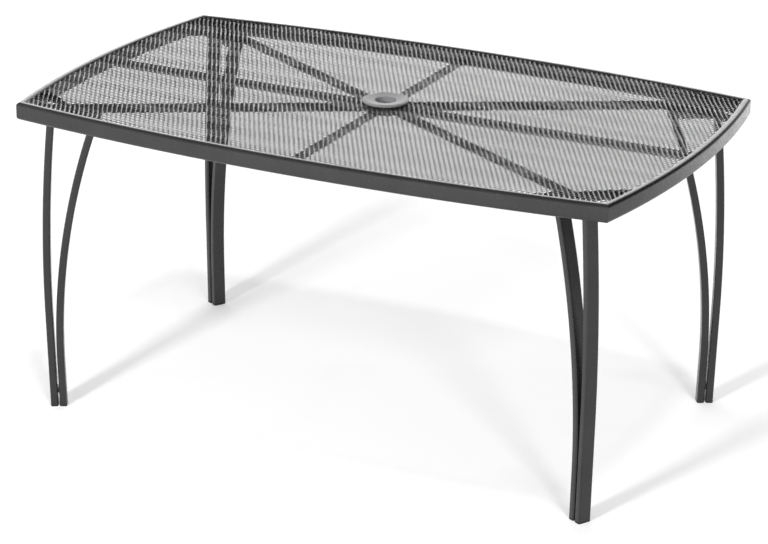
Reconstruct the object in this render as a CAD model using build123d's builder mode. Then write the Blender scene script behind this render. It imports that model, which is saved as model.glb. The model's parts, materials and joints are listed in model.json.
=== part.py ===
from build123d import *
import math
import os

# Rectangular garden table: a bowed tube frame with a mesh top on flat bars, four legs of two
# bent arms each, and a parasol ring in the middle. Millimetres, Z up. The origin is on the floor
# under the middle of the top, X runs along the long side and the front is -Y.

# Top, measured over the rails
top_length = 1500.0
top_width = 914.0
table_height = 731.0
end_bow = 38.5
side_bow = 50.5

# Rails of the frame
rail_width = 20.0
rail_height = 40.0
rail_edge = 4.0
rail_inside_edge = 4.0
rail_wall = 1.5

# Mesh sheet
mesh_drop = 0.2
mesh_thickness = 4.3
mesh_pitch_x = 70.0
mesh_pitch_y = 121.0
mesh_strand = 7.0
mesh_border = 5.0

# Flat bars and corner braces under the mesh
bar_thickness = 3.0
bar_height = 20.0
brace_from_corner_x = 181.5
brace_from_corner_y = 128.5

# Hub in the middle
hub_radius = 36.0
hub_wall = 3.0
hub_plate_thickness = 2.0

# Parasol ring
parasol_hole_radius = 24.0
sleeve_wall = 3.0
sleeve_below_hub = 3.0
sleeve_clearance = 0.3
flange_radius = 52.5
flange_edge = 3.0
flange_rise = 1.5
flange_rim = 5.0
flange_dish = 2.5
flange_lip = 1.0

# Legs
foot_from_corner_x = 58.5
foot_from_corner_y = 45.5
arm_width = 32.0
arm_depth = 17.0
arm_edge = 4.5
arm_wall = 1.5
arm_gap = 3.4
arm_lean = 1.52
outer_straight = 223.0
outer_bend = 3634.0
inner_straight = 107.0
inner_bend = 1602.0

# Head of a leg and the plate it is bolted to
head_height = 12.0
head_edge = 3.0
head_wall = 1.5
head_overhang = 3.0
plate_width = 44.0
plate_thickness = 3.0

# Fasteners of the legs
bolt_radius = 3.0
bolt_clearance = 0.3
bolt_side = 6.0
bolt_from_outer_arm = 22.0
bolt_from_inner_arm = 31.0
bolt_head_radius = 5.0
bolt_head_height = 4.0
washer_radius = 6.5
washer_thickness = 1.2
nut_width = 10.0
nut_height = 5.0
bolt_tip = 2.0

# Spacer between the arms and caps under them
spacer_height = 38.0
spacer_length = 14.0
spacer_width = 18.0
cap_height = 4.0
cap_plug = 12.0
cap_clearance = 0.2

# Levels
mesh_top_level = table_height - mesh_drop
bar_top = mesh_top_level - mesh_thickness
bar_bottom = bar_top - bar_height
bar_middle = bar_bottom + bar_height / 2
head_top = bar_bottom - plate_thickness
head_bottom = head_top - head_height

# Plan of the top: corner points and the arcs of the bowed sides
corner_x = top_length / 2 - end_bow
corner_y = top_width / 2 - side_bow
side_radius = (corner_x**2 + side_bow**2) / (2 * side_bow)
end_radius = (corner_y**2 + end_bow**2) / (2 * end_bow)
side_sweep = math.asin(corner_x / side_radius)
end_sweep = math.asin(corner_y / end_radius)

# The mesh sheet reaches over the rounded inner edges of the rails and touches them with its lower edge
sheet_above_rounding = max(rail_edge - mesh_drop - mesh_thickness, 0)
mesh_reach = rail_edge - math.sqrt(rail_edge**2 - sheet_above_rounding**2)

# Ends of the corner braces on the rails
brace_on_long_rail = corner_x - brace_from_corner_x
brace_on_short_rail = corner_y - brace_from_corner_y

# Legs stand on lines from the middle of the top; the corner bars run beside those lines to the corners
foot_x = corner_x - foot_from_corner_x
foot_y = corner_y - foot_from_corner_y
arm_spacing = arm_depth + arm_gap
lean = math.radians(arm_lean)

UP = Vector(0, 0, 1)
CORNERS = {
    "front_left": (-1, -1),
    "front_right": (1, -1),
    "back_right": (1, 1),
    "back_left": (-1, 1),
}

os.makedirs("parts", exist_ok=True)


def save(piece, label):
    """Label a finished piece and write it."""
    piece.part.label = label
    export_step(piece.part, f"parts/{label}.step")


def long_side_y(x, inset):
    """Distance from the middle line to the bowed long side, moved in by inset."""
    return math.sqrt((side_radius - inset) ** 2 - x**2) - side_radius + top_width / 2


def short_side_x(y, inset):
    """Distance from the middle line to the bowed short side, moved in by inset."""
    return math.sqrt((end_radius - inset) ** 2 - y**2) - end_radius + top_length / 2


def top_outline(inset):
    """Face of the bowed top, moved in from the outside of the rails by inset."""
    with BuildSketch() as outline:
        with BuildLine():
            ThreePointArc((-corner_x, -corner_y), (0, -top_width / 2), (corner_x, -corner_y))
            ThreePointArc((corner_x, -corner_y), (top_length / 2, 0), (corner_x, corner_y))
            ThreePointArc((corner_x, corner_y), (0, top_width / 2), (-corner_x, corner_y))
            ThreePointArc((-corner_x, corner_y), (-top_length / 2, 0), (-corner_x, -corner_y))
        make_face()
        offset(amount=-inset, kind=Kind.INTERSECTION)
    return outline.sketch


def mitre_plane(sign_x, sign_y):
    """Upright plane of a corner's mitre, facing away from the long rail's middle."""
    across = Vector(math.cos(end_sweep) + math.sin(side_sweep), math.cos(side_sweep) + math.sin(end_sweep))
    inward = Vector(-sign_x * across.X, -sign_y * across.Y)
    facing = Vector(sign_x * across.Y, -sign_y * across.X)
    return Plane(origin=(sign_x * corner_x, sign_y * corner_y), x_dir=inward, z_dir=facing)


def bowed_rail(middle_angle, apex, radius, sweep, mitres):
    """Hollow rail on an arc about an upright axis, cut at its two mitres."""
    overlap = math.degrees(sweep) + math.degrees(2 * rail_width / radius)
    outward = Vector(1, 0, 0).rotate(Axis.Z, middle_angle)
    start = outward.rotate(Axis.Z, -overlap)
    centre = outward * (apex - radius)
    with BuildPart() as rail:
        with BuildSketch(Plane(origin=centre, x_dir=start, z_dir=start.cross(UP))):
            with Locations((radius - rail_width / 2, table_height - rail_height / 2)):
                RectangleRounded(rail_width, rail_height, rail_edge)
                RectangleRounded(
                    rail_width - 2 * rail_wall,
                    rail_height - 2 * rail_wall,
                    rail_inside_edge,
                    mode=Mode.SUBTRACT,
                )
        revolve(axis=Axis(centre, UP), revolution_arc=2 * overlap)
        for mitre, keep in mitres:
            split(bisect_by=mitre, keep=keep)
    return rail


def rails():
    """The four rails of the frame."""
    for label, sign_y in (("front_rail", -1), ("back_rail", 1)):
        mitres = [(mitre_plane(sign_x, sign_y), Keep.BOTTOM) for sign_x in (-1, 1)]
        save(bowed_rail(sign_y * 90, top_width / 2, side_radius, side_sweep, mitres), label)
    for label, sign_x in (("left_rail", -1), ("right_rail", 1)):
        mitres = [(mitre_plane(sign_x, sign_y), Keep.TOP) for sign_y in (-1, 1)]
        middle = 0 if sign_x > 0 else 180
        save(bowed_rail(middle, top_length / 2, end_radius, end_sweep, mitres), label)


def mesh_gaps():
    """Diamond gaps of the mesh, cut off along the border and round the parasol ring, without slivers."""
    half_x = (mesh_pitch_x - mesh_strand) / 2
    half_y = (mesh_pitch_y - mesh_strand) / 2
    odd_columns = 2 * int(top_length / mesh_pitch_x / 2) + 1
    odd_rows = 2 * int(top_width / mesh_pitch_y / 2) + 1
    with BuildSketch() as gaps:
        for more in (0, 1):
            with GridLocations(mesh_pitch_x, mesh_pitch_y, odd_columns + more, odd_rows + more):
                Polygon((half_x, 0), (0, half_y), (-half_x, 0), (0, -half_y))
        add(top_outline(rail_width + mesh_border), mode=Mode.INTERSECT)
        Circle(flange_radius, mode=Mode.SUBTRACT)
    return [gap for gap in gaps.faces() if gap.area > half_x * half_y / 10]


def mesh_top():
    """Mesh sheet as one holed face, with the opening for the parasol sleeve."""
    with BuildPart() as sheet:
        with BuildSketch(Plane.XY.offset(bar_top)):
            add(top_outline(rail_width - mesh_reach))
            add(mesh_gaps(), mode=Mode.SUBTRACT)
            Circle(parasol_hole_radius + sleeve_wall + sleeve_clearance, mode=Mode.SUBTRACT)
        extrude(amount=mesh_thickness)
    save(sheet, "mesh_top")


def brace_line(sign_x, sign_y):
    """Middle, half length and direction of a corner brace's middle line."""
    on_long = Vector(sign_x * brace_on_long_rail, sign_y * long_side_y(brace_on_long_rail, rail_width))
    on_short = Vector(sign_x * short_side_x(brace_on_short_rail, rail_width), sign_y * brace_on_short_rail)
    along = on_short - on_long
    return (on_long + on_short) / 2, along.length, math.degrees(math.atan2(along.Y, along.X))


def bar_strip(angle, mode):
    """Footprint of a flat bar that runs from the middle outwards."""
    Rectangle(top_length, bar_thickness, rotation=angle, align=(Align.MIN, Align.CENTER), mode=mode)


def brace_strip(sign_x, sign_y, mode):
    """Footprint of a corner brace, longer than needed at both ends."""
    middle, length, angle = brace_line(sign_x, sign_y)
    with Locations(middle):
        Rectangle(length + 4 * rail_width, bar_thickness, rotation=angle, mode=mode)


def bar_angle(sign_x, sign_y):
    """Direction in degrees from the middle of the top to a corner of the frame."""
    return math.degrees(math.atan2(sign_y * corner_y, sign_x * corner_x))


def bars():
    """Eight flat bars from the hub to the rails; the corner ones are notched below for the braces."""
    for label, angle in (("bar_right", 0), ("bar_back", 90), ("bar_left", 180), ("bar_front", 270)):
        with BuildPart() as bar:
            with BuildSketch(Plane.XY.offset(bar_bottom)):
                add(inside_rails)
                bar_strip(angle, Mode.INTERSECT)
                Circle(hub_radius, mode=Mode.SUBTRACT)
            extrude(amount=bar_height)
        save(bar, label)
    for corner, signs in CORNERS.items():
        with BuildPart() as bar:
            with BuildSketch(Plane.XY.offset(bar_bottom)):
                add(inside_rails)
                bar_strip(bar_angle(*signs), Mode.INTERSECT)
                Circle(hub_radius, mode=Mode.SUBTRACT)
            extrude(amount=bar_height)
            with BuildSketch(Plane.XY.offset(bar_bottom)):
                brace_strip(*signs, Mode.ADD)
            extrude(amount=bar_height / 2, mode=Mode.SUBTRACT)
        save(bar, f"bar_{corner}")


def braces():
    """Flat bars across the corners, notched above for the corner bars."""
    for corner, signs in CORNERS.items():
        with BuildPart() as brace:
            with BuildSketch(Plane.XY.offset(bar_bottom)):
                add(inside_rails)
                brace_strip(*signs, Mode.INTERSECT)
            extrude(amount=bar_height)
            with BuildSketch(Plane.XY.offset(bar_middle)):
                bar_strip(bar_angle(*signs), Mode.ADD)
            extrude(amount=bar_height / 2, mode=Mode.SUBTRACT)
        save(brace, f"brace_{corner}")


def hub():
    """Rolled ring that the bars meet, and the plate in it that guides the parasol sleeve."""
    with BuildPart() as ring:
        with BuildSketch(Plane.XY.offset(bar_bottom)):
            Circle(hub_radius)
            Circle(hub_radius - hub_wall, mode=Mode.SUBTRACT)
        extrude(amount=bar_height)
    save(ring, "hub_ring")
    with BuildPart() as plate:
        with BuildSketch(Plane.XY.offset(bar_bottom)):
            Circle(hub_radius - hub_wall)
            Circle(parasol_hole_radius + sleeve_wall + sleeve_clearance, mode=Mode.SUBTRACT)
        extrude(amount=hub_plate_thickness)
    save(plate, "hub_plate")


def parasol_ring():
    """Plastic ring: a dished flange that lies on the mesh, and a sleeve down through the hub."""
    sleeve_radius = parasol_hole_radius + sleeve_wall
    crest = mesh_top_level + flange_edge + flange_rise
    sleeve_end = bar_bottom - sleeve_below_hub
    with BuildPart() as ring:
        with BuildSketch(Plane.XZ):
            with BuildLine():
                Polyline(
                    (parasol_hole_radius, sleeve_end),
                    (sleeve_radius, sleeve_end),
                    (sleeve_radius, mesh_top_level),
                    (flange_radius, mesh_top_level),
                    (flange_radius, mesh_top_level + flange_edge),
                )
                Line((flange_radius, mesh_top_level + flange_edge), (flange_radius - flange_rim, crest))
                Polyline(
                    (flange_radius - flange_rim, crest),
                    (sleeve_radius, crest - flange_dish),
                    (parasol_hole_radius + flange_lip, crest - flange_dish),
                    (parasol_hole_radius, crest - flange_dish - flange_lip),
                    (parasol_hole_radius, sleeve_end),
                )
            make_face()
        revolve(axis=Axis.Z)
        rims = ring.edges().filter_by(GeomType.CIRCLE).group_by(SortBy.RADIUS)[-1]
        fillet(rims.sort_by(Axis.Z)[-1], flange_lip)
    save(ring, "parasol_ring")


def leg_angle(sign_x, sign_y):
    """Direction in degrees from the middle of the top to a leg."""
    return math.degrees(math.atan2(sign_y * foot_y, sign_x * foot_x))


def leg_axes(sign_x, sign_y):
    """Foot point on the floor, outward direction and sideways direction of a leg."""
    outward = Vector(sign_x * foot_x, sign_y * foot_y).normalized()
    sideways = UP.cross(outward) * (sign_x * sign_y)
    return Vector(sign_x * foot_x, sign_y * foot_y), outward, sideways


def arm_bend(side):
    """Straight length, bend radius and the bend's centre (outward, up) of an arm; side is 1 or -1."""
    straight, radius = (outer_straight, outer_bend) if side > 0 else (inner_straight, inner_bend)
    start = side * arm_spacing / 2
    bend_start = (start + straight * math.sin(lean), straight * math.cos(lean))
    centre = (bend_start[0] - radius * math.cos(lean), bend_start[1] + radius * math.sin(lean))
    return straight, radius, centre


def arm_at(side, level):
    """Outward place of an arm's middle line, and its slope angle, at a level above its straight part."""
    _, radius, centre = arm_bend(side)
    slope = math.asin((centre[1] - level) / radius)
    return centre[0] + radius * math.cos(slope), slope


def head_span():
    """Outward start and end of a leg's head, just past the tops of its two arms."""
    inner, inner_slope = arm_at(-1, head_bottom)
    outer, outer_slope = arm_at(1, head_bottom)
    start = inner - arm_depth / 2 / math.cos(inner_slope) - head_overhang
    end = outer + arm_depth / 2 / math.cos(outer_slope) + head_overhang
    return start, end


def bolt_places():
    """Outward and sideways places of a leg's two bolts, beside the corner bar."""
    inner, _ = arm_at(-1, head_bottom)
    outer, _ = arm_at(1, head_bottom)
    return [(outer - bolt_from_outer_arm, -bolt_side), (inner + bolt_from_inner_arm, -bolt_side)]


def arms():
    """Two bent tubes for each leg, cut level at the cap and under the head."""
    top_level = head_bottom + arm_depth
    for corner, signs in CORNERS.items():
        foot, outward, sideways = leg_axes(*signs)
        axis = outward * math.sin(lean) + UP * math.cos(lean)
        for label, side in (("outer", 1), ("inner", -1)):
            base = foot + outward * (side * arm_spacing / 2)
            start = base - axis * arm_depth
            bend_start = base + axis * arm_bend(side)[0]
            middle_level = (bend_start.Z + top_level) / 2
            bend = [foot + outward * arm_at(side, level)[0] + UP * level for level in (middle_level, top_level)]
            with BuildPart() as arm:
                with BuildLine():
                    Line(start, bend_start)
                    ThreePointArc(bend_start, *bend)
                with BuildSketch(Plane(origin=start, x_dir=sideways, z_dir=axis)):
                    RectangleRounded(arm_width, arm_depth, arm_edge)
                    RectangleRounded(
                        arm_width - 2 * arm_wall,
                        arm_depth - 2 * arm_wall,
                        arm_edge - arm_wall,
                        mode=Mode.SUBTRACT,
                    )
                sweep()
                split(bisect_by=Plane.XY.offset(cap_height), keep=Keep.TOP)
                split(bisect_by=Plane.XY.offset(head_bottom), keep=Keep.BOTTOM)
            save(arm, f"{label}_arm_{corner}")


def foot_caps():
    """Plastic cap under each arm, with a plug inside the tube."""
    for corner, signs in CORNERS.items():
        foot, outward, sideways = leg_axes(*signs)
        axis = outward * math.sin(lean) + UP * math.cos(lean)
        for label, side in (("outer", 1), ("inner", -1)):
            base = Plane(origin=foot + outward * (side * arm_spacing / 2), x_dir=sideways, z_dir=axis)
            with BuildPart() as cap:
                with BuildSketch(base):
                    RectangleRounded(arm_width, arm_depth, arm_edge)
                extrude(amount=2 * cap_height, both=True)
                split(bisect_by=Plane.XY, keep=Keep.TOP)
                split(bisect_by=Plane.XY.offset(cap_height), keep=Keep.BOTTOM)
                with BuildSketch(base.offset(cap_height / 2)):
                    RectangleRounded(
                        arm_width - 2 * (arm_wall + cap_clearance),
                        arm_depth - 2 * (arm_wall + cap_clearance),
                        arm_edge - arm_wall - cap_clearance,
                    )
                extrude(amount=cap_height / 2 + cap_plug)
            save(cap, f"{label}_foot_cap_{corner}")


def leg_spacers():
    """Small block between the two arms of each leg, near the floor."""
    between_arms = arm_spacing * math.cos(lean) - arm_depth
    for corner, signs in CORNERS.items():
        foot, outward, sideways = leg_axes(*signs)
        axis = outward * math.sin(lean) + UP * math.cos(lean)
        with BuildPart() as spacer:
            with BuildSketch(Plane(origin=foot + axis * spacer_height, x_dir=sideways, z_dir=axis)):
                Rectangle(spacer_width, between_arms)
            extrude(amount=spacer_length / 2, both=True)
        save(spacer, f"leg_spacer_{corner}")


def leg_heads():
    """Level tube over the two arms of each leg, and the plate above it that it is bolted to."""
    start, end = head_span()
    middle = (start + end) / 2
    bolts = bolt_places()
    for corner, signs in CORNERS.items():
        foot, outward, sideways = leg_axes(*signs)
        end_plane = Plane(
            origin=foot + outward * start + UP * (head_bottom + head_height / 2),
            x_dir=UP.cross(outward),
            z_dir=outward,
        )
        holes = [foot + outward * along + sideways * across for along, across in bolts]
        with BuildPart() as head:
            with BuildSketch(end_plane):
                RectangleRounded(arm_width, head_height, head_edge)
                RectangleRounded(
                    arm_width - 2 * head_wall,
                    head_height - 2 * head_wall,
                    head_edge - head_wall,
                    mode=Mode.SUBTRACT,
                )
            extrude(amount=end - start)
            with BuildSketch(Plane.XY.offset(head_bottom)):
                with Locations(*holes):
                    Circle(bolt_radius + bolt_clearance)
            extrude(amount=head_height, mode=Mode.SUBTRACT)
        save(head, f"leg_head_{corner}")
        with BuildPart() as plate:
            with BuildSketch(Plane.XY.offset(head_top)):
                with Locations(foot + outward * middle):
                    Rectangle(end - start, plate_width, rotation=leg_angle(*signs))
                with Locations(*holes):
                    Circle(bolt_radius + bolt_clearance, mode=Mode.SUBTRACT)
            extrude(amount=plate_thickness)
        save(plate, f"mounting_plate_{corner}")


def leg_fasteners():
    """Bolts, washers and nuts of the four legs, each kind as one group."""
    places = []
    for signs in CORNERS.values():
        foot, outward, sideways = leg_axes(*signs)
        places += [foot + outward * along + sideways * across for along, across in bolt_places()]
    head_level = head_bottom - washer_thickness
    tip_level = bar_bottom + nut_height + bolt_tip
    with BuildPart() as bolts:
        with BuildSketch(Plane.XY.offset(head_level)):
            with Locations(*places):
                Circle(bolt_radius)
        extrude(amount=tip_level - head_level)
        with BuildSketch(Plane.XY.offset(head_level)):
            with Locations(*places):
                RegularPolygon(bolt_head_radius, 6, major_radius=False)
        extrude(amount=-bolt_head_height)
    save(bolts, "leg_bolts")
    with BuildPart() as washers:
        with BuildSketch(Plane.XY.offset(head_level)):
            with Locations(*places):
                Circle(washer_radius)
                Circle(bolt_radius + bolt_clearance, mode=Mode.SUBTRACT)
        extrude(amount=washer_thickness)
    save(washers, "leg_washers")
    with BuildPart() as nuts:
        with BuildSketch(Plane.XY.offset(bar_bottom)):
            with Locations(*places):
                RegularPolygon(nut_width / 2, 6, major_radius=False)
                Circle(bolt_radius, mode=Mode.SUBTRACT)
        extrude(amount=nut_height)
    save(nuts, "leg_nuts")


inside_rails = top_outline(rail_width)

rails()
mesh_top()
bars()
braces()
hub()
parasol_ring()
arms()
foot_caps()
leg_spacers()
leg_heads()
leg_fasteners()
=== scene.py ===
import json
import math

import bmesh
import bpy
from mathutils import Matrix, Quaternion, Vector


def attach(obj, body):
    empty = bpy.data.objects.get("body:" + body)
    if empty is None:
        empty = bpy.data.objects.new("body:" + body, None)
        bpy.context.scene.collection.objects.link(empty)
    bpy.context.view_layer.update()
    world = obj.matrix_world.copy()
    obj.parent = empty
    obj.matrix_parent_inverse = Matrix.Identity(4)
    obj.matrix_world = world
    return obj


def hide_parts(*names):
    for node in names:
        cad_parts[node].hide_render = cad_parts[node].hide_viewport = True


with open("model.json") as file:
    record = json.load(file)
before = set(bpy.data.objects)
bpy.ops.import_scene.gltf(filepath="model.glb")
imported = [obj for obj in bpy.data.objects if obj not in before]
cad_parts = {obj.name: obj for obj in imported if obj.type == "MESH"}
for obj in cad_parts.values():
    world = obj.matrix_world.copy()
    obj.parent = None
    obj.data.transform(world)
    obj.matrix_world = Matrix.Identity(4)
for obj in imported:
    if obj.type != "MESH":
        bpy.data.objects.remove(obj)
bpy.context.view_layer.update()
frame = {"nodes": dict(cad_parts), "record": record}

# Frame of the top, in metres
HALF_LENGTH = 0.750
HALF_WIDTH = 0.457
TABLE_HEIGHT = 0.731
CORNER_X = 0.7115
CORNER_Y = 0.4065
SIDE_BOW = HALF_WIDTH - CORNER_Y
END_BOW = HALF_LENGTH - CORNER_X
SIDE_RADIUS = (CORNER_X**2 + SIDE_BOW**2) / (2 * SIDE_BOW)
END_RADIUS = (CORNER_Y**2 + END_BOW**2) / (2 * END_BOW)
SIDE_SWEEP = math.asin(CORNER_X / SIDE_RADIUS)
END_SWEEP = math.asin(CORNER_Y / END_RADIUS)

RAIL_WIDTH = 0.020
RAIL_HEIGHT = 0.040
RAIL_EDGE = 0.008

# Expanded mesh: diamonds of 12 by 20.8 mm, long way across the table
DIAMOND_X = 0.0120
DIAMOND_Y = 0.0208
STRAND_WIDTH = 0.0033
STRAND_THICKNESS = 0.0016
STRAND_TILT = math.radians(12.0)
STRAND_REACH = 0.003
MESH_BOTTOM = 0.7265
HUB_CLEAR = 0.036

# Legs
FOOT = Vector((0.653, 0.361, 0.0))
ARM_WIDTH = 0.032
ARM_DEPTH = 0.017
ARM_EDGE = 0.0045
ARM_SPACING = 0.0204
ARM_LEAN = math.radians(1.52)
OUTER_STRAIGHT = 0.223
OUTER_BEND = 3.634
INNER_STRAIGHT = 0.107
INNER_BEND = 1.602
BEND_SPARE = 1.02
CAP_HEIGHT = 0.004
HEAD_BOTTOM = 0.6915

# How finely the curved pieces are stepped
EDGE_STEPS = 7
SIDE_STEPS = 64
END_STEPS = 40
BEND_STEPS = 36
END_CUTS = 12
CREASE = math.radians(35.0)

UP = Vector((0, 0, 1))
CORNERS = {
    "front_left": (-1, -1),
    "front_right": (1, -1),
    "back_right": (1, 1),
    "back_left": (-1, 1),
}

# Values between which nearly all of a noise lies
NOISE_SPREAD = (0.35, 0.65)


# Shader helpers

def add_noise(nodes, links, scale, detail):
    """Noise in real size, on the piece's own coordinates."""
    place = nodes.new("ShaderNodeTexCoord")
    noise = nodes.new("ShaderNodeTexNoise")
    noise.inputs["Scale"].default_value = scale
    noise.inputs["Detail"].default_value = detail
    links.new(place.outputs["Object"], noise.inputs["Vector"])
    return noise.outputs["Fac"]


def add_range(nodes, links, value, start, end, low, high, course="LINEAR"):
    """A value that goes from low to high while another goes from start to end."""
    spread = nodes.new("ShaderNodeMapRange")
    spread.interpolation_type = course
    spread.inputs["From Min"].default_value = start
    spread.inputs["From Max"].default_value = end
    spread.inputs["To Min"].default_value = low
    spread.inputs["To Max"].default_value = high
    links.new(value, spread.inputs["Value"])
    return spread.outputs["Result"]


def add_math(nodes, links, operation, first, second):
    """Two values put together."""
    result = nodes.new("ShaderNodeMath")
    result.operation = operation
    links.new(first, result.inputs[0])
    links.new(second, result.inputs[1])
    return result.outputs[0]


def add_tint(nodes, links, value, dark, light):
    """Colour that wanders between two near shades."""
    mix = nodes.new("ShaderNodeMix")
    mix.data_type = "RGBA"
    mix.inputs[6].default_value = (*dark, 1)
    mix.inputs[7].default_value = (*light, 1)
    links.new(value, mix.inputs[0])
    return mix.outputs[2]


def add_grain(nodes, links, shader, value, strength, depth):
    """Fine relief of a surface."""
    bump = nodes.new("ShaderNodeBump")
    bump.inputs["Strength"].default_value = strength
    bump.inputs["Distance"].default_value = depth
    links.new(value, bump.inputs["Height"])
    links.new(bump.outputs["Normal"], shader.inputs["Normal"])


# Finishes

def mottled_finish(name, cloud, shades, sheen, roughness, grain, relief):
    """Finish whose shade, sheen and relief wander, each by a noise of its own scale and detail."""
    material = bpy.data.materials.new(name)
    material.use_nodes = True
    nodes, links = material.node_tree.nodes, material.node_tree.links
    shader = nodes["Principled BSDF"]
    clouds = add_range(nodes, links, add_noise(nodes, links, *cloud), *NOISE_SPREAD, 0.0, 1.0)
    links.new(add_tint(nodes, links, clouds, *shades), shader.inputs["Base Color"])
    sheens = add_range(nodes, links, add_noise(nodes, links, *sheen), *NOISE_SPREAD, *roughness)
    links.new(sheens, shader.inputs["Roughness"])
    add_grain(nodes, links, shader, add_noise(nodes, links, *grain), *relief)
    return material, shader


def powder_coat():
    """Semi-gloss anthracite powder coat with its fine orange peel."""
    material, shader = mottled_finish(
        "anthracite_powder_coat",
        cloud=(9.0, 4.0),
        shades=((0.0105, 0.0096, 0.0106), (0.0155, 0.0144, 0.0156)),
        sheen=(60.0, 3.0),
        roughness=(0.24, 0.32),
        grain=(700.0, 2.0),
        relief=(0.025, 0.0003),
    )
    shader.inputs["IOR"].default_value = 1.5
    return material


def strand_coat():
    """The same coat on the thin strands, where its shade and relief vary a little more."""
    material, shader = mottled_finish(
        "anthracite_strand_coat",
        cloud=(25.0, 4.0),
        shades=((0.0105, 0.0096, 0.0106), (0.0165, 0.0153, 0.0166)),
        sheen=(120.0, 3.0),
        roughness=(0.24, 0.34),
        grain=(900.0, 2.0),
        relief=(0.10, 0.0002),
    )
    shader.inputs["IOR"].default_value = 1.5
    return material


def grey_plastic():
    """Satin grey moulded plastic of the parasol ring."""
    material, shader = mottled_finish(
        "satin_grey_plastic",
        cloud=(30.0, 4.0),
        shades=((0.158, 0.154, 0.160), (0.180, 0.176, 0.182)),
        sheen=(180.0, 3.0),
        roughness=(0.42, 0.52),
        grain=(2200.0, 2.0),
        relief=(0.12, 0.0001),
    )
    shader.inputs["IOR"].default_value = 1.46
    return material


def black_plastic():
    """Matt black moulded plastic of the foot caps, finely mottled."""
    material, shader = mottled_finish(
        "matt_black_plastic",
        cloud=(160.0, 5.0),
        shades=((0.008, 0.008, 0.008), (0.014, 0.014, 0.014)),
        sheen=(300.0, 3.0),
        roughness=(0.50, 0.65),
        grain=(1800.0, 2.0),
        relief=(0.15, 0.0001),
    )
    shader.inputs["IOR"].default_value = 1.46
    return material


def zinc_plate():
    """Zinc plating of the bolts, washers and nuts."""
    material, shader = mottled_finish(
        "zinc_plated_steel",
        cloud=(220.0, 5.0),
        shades=((0.47, 0.48, 0.49), (0.60, 0.61, 0.62)),
        sheen=(500.0, 3.0),
        roughness=(0.28, 0.42),
        grain=(2500.0, 2.0),
        relief=(0.10, 0.0001),
    )
    shader.inputs["Metallic"].default_value = 1.0
    return material


COAT = powder_coat()
STRAND_COAT = strand_coat()
FINISHES = {
    "painted_steel": COAT,
    "ring_plastic": grey_plastic(),
    "cap_plastic": black_plastic(),
    "zinc_steel": zinc_plate(),
}


# Shaping helpers

def whole(bm):
    """All the geometry of a shape."""
    return bm.verts[:] + bm.edges[:] + bm.faces[:]


def cut_away(bm, geometry, place, facing):
    """Cut geometry at a plane, drop what lies on the facing side and close the cut."""
    cut = bmesh.ops.bisect_plane(
        bm, geom=geometry, dist=1e-7, plane_co=place, plane_no=facing, clear_outer=True
    )
    rim = [item for item in cut["geom_cut"] if isinstance(item, bmesh.types.BMEdge)]
    if rim:
        bmesh.ops.holes_fill(bm, edges=rim, sides=0)


def flat_section(bm, width, height):
    """Rectangular face about the origin."""
    bmesh.ops.create_grid(bm, x_segments=1, y_segments=1, size=0.5)
    bmesh.ops.scale(bm, vec=(width, height, 1), verts=bm.verts)


def rounded_section(bm, width, height, edge, place):
    """Face with the outline of a tube, its corners rounded, set at place."""
    flat_section(bm, width, height)
    bmesh.ops.bevel(
        bm, geom=bm.verts[:], offset=edge, offset_type="OFFSET", affect="VERTICES",
        segments=EDGE_STEPS, profile=0.5, material=-1,
    )
    bmesh.ops.transform(bm, matrix=place, verts=bm.verts)
    return bm.faces[:][0]


def axes_matrix(right, up, forward, place):
    """Matrix that lays local x, y and z on three directions at a place."""
    columns = Matrix((right, up, forward)).transposed()
    return Matrix.Translation(place) @ columns.to_4x4()


def push(bm, face, step):
    """Extrude a face along a step and give back its new end."""
    out = bmesh.ops.extrude_face_region(bm, geom=[face])["geom"]
    bmesh.ops.translate(bm, vec=step, verts=[v for v in out if isinstance(v, bmesh.types.BMVert)])
    return [f for f in out if isinstance(f, bmesh.types.BMFace)][0]


def finish_piece(bm, name, material, nodes):
    """Turn a shape into a shown piece that stands for its CAD nodes."""
    bmesh.ops.recalc_face_normals(bm, faces=bm.faces)
    for face in bm.faces:
        face.smooth = True
    for edge in bm.edges:
        edge.smooth = edge.calc_face_angle(0.0) < CREASE
    mesh = bpy.data.meshes.new(name)
    bm.to_mesh(mesh)
    bm.free()
    piece = bpy.data.objects.new(name, mesh)
    bpy.context.scene.collection.objects.link(piece)
    mesh.materials.append(material)
    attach(piece, "root")
    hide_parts(*nodes)
    return piece


def even_shading(piece):
    """Keep the wide flat faces of a tube flat between its rounded edges."""
    weighted = piece.modifiers.new("even_shading", "WEIGHTED_NORMAL")
    weighted.keep_sharp = True


# Pieces

def long_side_y(x, inset):
    """Distance from the middle line to the bowed long side, moved in by inset."""
    return math.sqrt((SIDE_RADIUS - inset) ** 2 - x**2) - SIDE_RADIUS + HALF_WIDTH


def mitre(sign_x, sign_y):
    """Corner point of the top, and the direction square to its mitre that points off the long side."""
    across_x = math.cos(END_SWEEP) + math.sin(SIDE_SWEEP)
    across_y = math.cos(SIDE_SWEEP) + math.sin(END_SWEEP)
    facing = Vector((sign_x * across_y, -sign_y * across_x, 0))
    return Vector((sign_x * CORNER_X, sign_y * CORNER_Y, 0)), facing


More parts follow.
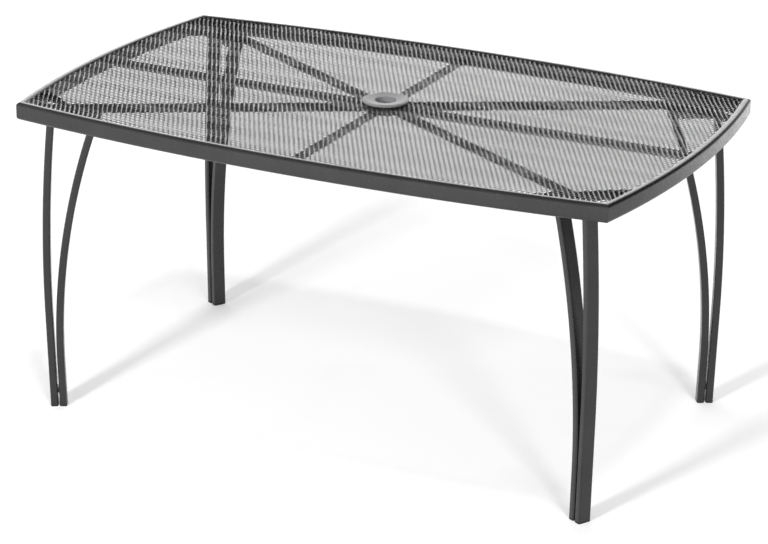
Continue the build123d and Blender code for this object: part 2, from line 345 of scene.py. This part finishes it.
def bowed_rail(name, outward, apex, radius, sweep, steps, mitres):
    """Bowed tube of the frame: a rounded section spun about the middle of its bow and mitred."""
    overlap = sweep + 2 * RAIL_WIDTH / radius
    start = outward.copy()
    start.rotate(Quaternion(UP, -overlap))
    centre = outward * (apex - radius)
    bm = bmesh.new()
    middle = centre + start * (radius - RAIL_WIDTH / 2) + UP * (TABLE_HEIGHT - RAIL_HEIGHT / 2)
    place = axes_matrix(start, UP, start.cross(UP), middle)
    rounded_section(bm, RAIL_WIDTH, RAIL_HEIGHT, RAIL_EDGE, place)
    bmesh.ops.spin(
        bm, geom=whole(bm), cent=centre, axis=UP, angle=2 * overlap, steps=steps, use_duplicate=False
    )
    for corner, facing in mitres:
        cut_away(bm, whole(bm), corner, facing)
    even_shading(finish_piece(bm, name + "_tube", COAT, [name]))


def rails():
    """The four mitred tubes of the frame."""
    for name, sign_y in (("front_rail", -1), ("back_rail", 1)):
        mitres = [mitre(sign_x, sign_y) for sign_x in (-1, 1)]
        bowed_rail(name, Vector((0, sign_y, 0)), HALF_WIDTH, SIDE_RADIUS, SIDE_SWEEP, SIDE_STEPS, mitres)
    for name, sign_x in (("left_rail", -1), ("right_rail", 1)):
        mitres = [(corner, -facing) for corner, facing in (mitre(sign_x, -1), mitre(sign_x, 1))]
        bowed_rail(name, Vector((sign_x, 0, 0)), HALF_LENGTH, END_RADIUS, END_SWEEP, END_STEPS, mitres)


def zigzag_strand(level, swing, lift):
    """One strand of the mesh from front to back: a tilted section that falls where it swings right."""
    half_wave = DIAMOND_Y / 2
    steps = 2 * int((HALF_WIDTH - RAIL_WIDTH) / half_wave + 2)
    bm = bmesh.new()
    flat_section(bm, STRAND_WIDTH, STRAND_THICKNESS)
    begin = Vector((-swing, -steps / 2 * half_wave, level + lift))
    lie = axes_matrix(Vector((1, 0, 0)), UP, Vector((0, -1, 0)), begin)
    tilt = Matrix.Rotation(STRAND_TILT, 4, "Z")
    bmesh.ops.transform(bm, matrix=lie @ tilt, verts=bm.verts)
    end = bm.faces[:][0]
    for index in range(steps):
        side = 1 if index % 2 == 0 else -1
        end = push(bm, end, (side * 2 * swing, half_wave, -side * 2 * lift))
    return bm


def trim_strand(bm, x, level):
    """Cut a strand off within the rounded edge of the rails and round the parasol hole."""
    for sign_y in (-1, 1):
        rim = Vector((x, sign_y * long_side_y(x, RAIL_WIDTH - STRAND_REACH), level))
        facing = Vector((x, rim.y + sign_y * (SIDE_RADIUS - HALF_WIDTH), 0))
        cut_away(bm, whole(bm), rim, facing)
    if abs(x) > CORNER_X - END_BOW - DIAMOND_X:
        sign_x = math.copysign(1, x)
        centre = Vector((sign_x * (HALF_LENGTH - END_RADIUS), 0, level))
        for index in range(END_CUTS + 1):
            angle = END_SWEEP * (2 * index / END_CUTS - 1)
            facing = Vector((sign_x * math.cos(angle), math.sin(angle), 0))
            cut_away(bm, whole(bm), centre + facing * (END_RADIUS - RAIL_WIDTH + STRAND_REACH), facing)
    if abs(x) < HUB_CLEAR:
        hidden = [f for f in bm.faces if math.hypot(*f.calc_center_median().xy) < HUB_CLEAR]
        bmesh.ops.delete(bm, geom=hidden, context="FACES")
        bmesh.ops.holes_fill(bm, edges=[e for e in bm.edges if e.is_boundary], sides=0)


def mesh_strands():
    """Expanded mesh: zigzag strands side by side, half a diamond apart, that touch where they turn."""
    half_pitch = DIAMOND_X / 2
    lift = STRAND_WIDTH / 2 * math.sin(STRAND_TILT)
    swing = (half_pitch - STRAND_WIDTH * math.cos(STRAND_TILT)) / 2
    level = MESH_BOTTOM + 2 * lift + STRAND_THICKNESS / 2 * math.cos(STRAND_TILT)
    pattern = zigzag_strand(level, swing, lift)
    strand_mesh = bpy.data.meshes.new("strand")
    sheet = bmesh.new()
    count = int((HALF_LENGTH - RAIL_WIDTH + STRAND_REACH) / half_pitch)
    for index in range(-count, count + 1):
        x = index * half_pitch
        strand = pattern.copy()
        bmesh.ops.translate(strand, vec=(x, (index % 2) * DIAMOND_Y / 2, 0), verts=strand.verts)
        trim_strand(strand, x, level)
        strand.to_mesh(strand_mesh)
        strand.free()
        sheet.from_mesh(strand_mesh)
    pattern.free()
    bpy.data.meshes.remove(strand_mesh)
    finish_piece(sheet, "mesh_strands", STRAND_COAT, ["mesh_top"])


def bent_arm(name, sign_x, sign_y, side):
    """One bent tube of a leg: a straight shin and a long bend, cut level above and below."""
    straight, radius = (OUTER_STRAIGHT, OUTER_BEND) if side > 0 else (INNER_STRAIGHT, INNER_BEND)
    foot = Vector((sign_x * FOOT.x, sign_y * FOOT.y, 0))
    outward = foot.normalized()
    sideways = UP.cross(outward)
    axis = outward * math.sin(ARM_LEAN) + UP * math.cos(ARM_LEAN)
    towards = UP * math.sin(ARM_LEAN) - outward * math.cos(ARM_LEAN)
    base = foot + outward * (side * ARM_SPACING / 2)
    bm = bmesh.new()
    place = axes_matrix(sideways, axis.cross(sideways), axis, base - axis * ARM_DEPTH)
    face = rounded_section(bm, ARM_WIDTH, ARM_DEPTH, ARM_EDGE, place)
    end = push(bm, face, axis * (straight + ARM_DEPTH))
    rim = [end] + list(end.edges) + list(end.verts)
    bend = (HEAD_BOTTOM + ARM_DEPTH - straight) / radius * BEND_SPARE
    centre = base + axis * straight + towards * radius
    bmesh.ops.spin(
        bm, geom=rim, cent=centre, axis=sideways, angle=-bend, steps=BEND_STEPS, use_duplicate=False
    )
    cut_away(bm, whole(bm), (0, 0, CAP_HEIGHT), -UP)
    cut_away(bm, whole(bm), (0, 0, HEAD_BOTTOM), UP)
    even_shading(finish_piece(bm, name + "_tube", COAT, [name]))


def legs():
    """Two bent tubes at each corner."""
    for corner, signs in CORNERS.items():
        for label, side in (("outer", 1), ("inner", -1)):
            bent_arm(f"{label}_arm_{corner}", *signs, side)


def coat_cad_nodes():
    """Give the CAD pieces their finishes."""
    for subpart in frame["record"]["subparts"]:
        node = frame["nodes"][subpart["node"]]
        node.data.materials.clear()
        node.data.materials.append(FINISHES[subpart["material_slot"]])


coat_cad_nodes()
rails()
mesh_strands()
legs()


# Studio

def pale_floor():
    """Matt white floor; a glow that only the view and reflections see keeps it white far off."""
    near, far = 2.0, 7.0
    near_glow, far_glow = 0.19, 0.75
    material = bpy.data.materials.new("pale_floor")
    material.use_nodes = True
    nodes, links = material.node_tree.nodes, material.node_tree.links
    nodes.clear()
    light_path = nodes.new("ShaderNodeLightPath")
    seen = light_path.outputs["Is Camera Ray"]
    for ray in ("Is Glossy Ray", "Is Transmission Ray"):
        seen = add_math(nodes, links, "MAXIMUM", seen, light_path.outputs[ray])
    matt = nodes.new("ShaderNodeBsdfDiffuse")
    matt.inputs["Color"].default_value = (0.80, 0.80, 0.80, 1)
    place = nodes.new("ShaderNodeTexCoord")
    distance = nodes.new("ShaderNodeVectorMath")
    distance.operation = "LENGTH"
    links.new(place.outputs["Object"], distance.inputs[0])
    white = add_range(
        nodes, links, distance.outputs["Value"], near, far, near_glow, far_glow, "SMOOTHSTEP"
    )
    glow = nodes.new("ShaderNodeEmission")
    glow.inputs["Color"].default_value = (1, 1, 1, 1)
    links.new(add_math(nodes, links, "MULTIPLY", seen, white), glow.inputs["Strength"])
    both = nodes.new("ShaderNodeAddShader")
    links.new(matt.outputs[0], both.inputs[0])
    links.new(glow.outputs[0], both.inputs[1])
    output = nodes.new("ShaderNodeOutputMaterial")
    links.new(both.outputs[0], output.inputs["Surface"])
    return material


def studio_floor():
    """Wide pale floor that keeps the table's shadow and reads as white behind it."""
    half_side = 20.0
    bm = bmesh.new()
    bmesh.ops.create_grid(bm, x_segments=1, y_segments=1, size=half_side)
    mesh = bpy.data.meshes.new("studio_floor")
    bm.to_mesh(mesh)
    bm.free()
    mesh.materials.append(pale_floor())
    floor = bpy.data.objects.new("studio_floor", mesh)
    bpy.context.scene.collection.objects.link(floor)


def studio_world():
    """White backdrop, dimmer overhead and on the right, with a dark flag behind on the right."""
    overhead_heights, dim_overhead = (0.25, 0.85), 0.35
    right_sides, dim_right = (-0.2, 0.7), 0.45
    flag_sides, flag_depths, flag_heights = (-0.05, 0.3), (0.2, 0.6), (0.06, 0.18)
    dark_flag = 0.08
    world = bpy.data.worlds.new("studio")
    bpy.context.scene.world = world
    world.use_nodes = True
    nodes, links = world.node_tree.nodes, world.node_tree.links
    nodes.clear()

    def soft_step(value, start, end, low, high):
        return add_range(nodes, links, value, start, end, low, high, "SMOOTHSTEP")

    def product(first, second):
        return add_math(nodes, links, "MULTIPLY", first, second)

    place = nodes.new("ShaderNodeTexCoord")
    split = nodes.new("ShaderNodeSeparateXYZ")
    links.new(place.outputs["Generated"], split.inputs[0])
    across, deep, height = split.outputs
    overhead = soft_step(height, *overhead_heights, 1.0, dim_overhead)
    right = soft_step(across, *right_sides, 1.0, dim_right)
    back_right = product(
        soft_step(across, *flag_sides, 0.0, 1.0), soft_step(deep, *flag_depths, 0.0, 1.0)
    )
    flag = product(back_right, soft_step(height, *flag_heights, 0.0, 1.0))
    shade = soft_step(flag, 0.0, 1.0, 1.0, dark_flag)
    backdrop = nodes.new("ShaderNodeBackground")
    backdrop.inputs["Color"].default_value = (1, 1, 1, 1)
    links.new(product(product(overhead, right), shade), backdrop.inputs["Strength"])
    output = nodes.new("ShaderNodeOutputWorld")
    links.new(backdrop.outputs[0], output.inputs["Surface"])


def hang(name, lamp, place, target):
    """Hang a lamp at a place, looking at a target."""
    holder = bpy.data.objects.new(name, lamp)
    holder.location = place
    holder.rotation_euler = (Vector(target) - Vector(place)).to_track_quat("-Z", "Y").to_euler()
    bpy.context.scene.collection.objects.link(holder)
    return holder


def flat_lamp(name, width, height, energy, place, target):
    """A flat soft lamp at a place, aimed at a target."""
    lamp = bpy.data.lights.new(name, "AREA")
    lamp.shape = "RECTANGLE"
    lamp.size = width
    lamp.size_y = height
    lamp.energy = energy
    return hang(name, lamp, place, target)


def far_lamp(name, energy, softness, place):
    """A lamp far off in the direction of a place, that throws even shadows."""
    lamp = bpy.data.lights.new(name, "SUN")
    lamp.energy = energy
    lamp.angle = math.radians(softness)
    return hang(name, lamp, place, (0, 0, 0))


def floor_pool(energy, cone, radius, place):
    """A lamp that looks straight down and lights a pool on the floor."""
    lamp = bpy.data.lights.new("floor_pool", "SPOT")
    lamp.energy = energy
    lamp.spot_size = math.radians(cone)
    lamp.spot_blend = 1.0
    lamp.shadow_soft_size = radius
    return hang("floor_pool", lamp, place, (place[0], place[1], 0))


def studio_lights():
    """Shadow lamps that do not glare in the paint, a panel behind for its sheen, a pool on the right."""
    shadow_lamps = (
        flat_lamp("key", width=0.8, height=0.8, energy=400.0, place=(-1.0, -6.6, 2.6), target=(0, 0, 0.2)),
        far_lamp("fill", energy=0.9, softness=9.0, place=(4.0, -4.3, 3.8)),
        far_lamp("overhead", energy=0.60, softness=6.0, place=(1.0, -0.75, 5.0)),
    )
    for holder in shadow_lamps:
        holder.visible_glossy = False
    flat_lamp("back_panel", width=8.0, height=4.2, energy=240.0, place=(-3.2, 5.2, 2.3), target=(0, 0, 0.9))
    floor_pool(energy=480.0, cone=50.0, radius=0.2, place=(1.3, 2.7, 3.0))


def photo_camera():
    """Camera at the photograph's view."""
    azimuth = math.radians(26.899)
    elevation = math.radians(20.673)
    roll = math.radians(0.524)
    target = Vector((0, 0, 0.3558))
    distance = 6.7349
    picture_pixels = 768
    focal_pixels = 2964.6
    below_axis_pixels = 13.90
    left_of_axis_pixels = 0.22

    outwards = math.cos(elevation)
    towards = Vector((math.sin(azimuth) * outwards, -math.cos(azimuth) * outwards, math.sin(elevation)))
    level = Vector((math.cos(azimuth), math.sin(azimuth), 0))
    upright = (-towards).cross(level) * -1
    right = level * math.cos(roll) + upright * math.sin(roll)
    up = upright * math.cos(roll) - level * math.sin(roll)
    sight = -towards * focal_pixels - right * left_of_axis_pixels - up * below_axis_pixels
    forward = sight.normalized()
    right = (right - forward * right.dot(forward)).normalized()
    up = right.cross(forward)

    data = bpy.data.cameras.new("photo_camera")
    data.sensor_fit = "HORIZONTAL"
    data.sensor_width = 36.0
    data.lens = focal_pixels * data.sensor_width / picture_pixels
    camera = bpy.data.objects.new("photo_camera", data)
    camera.matrix_world = axes_matrix(right, up, -forward, target + towards * distance)
    bpy.context.scene.collection.objects.link(camera)
    bpy.context.scene.camera = camera


studio_floor()
studio_world()
studio_lights()
photo_camera()
bpy.context.scene.view_settings.view_transform = "Standard"

bpy.context.view_layer.update()
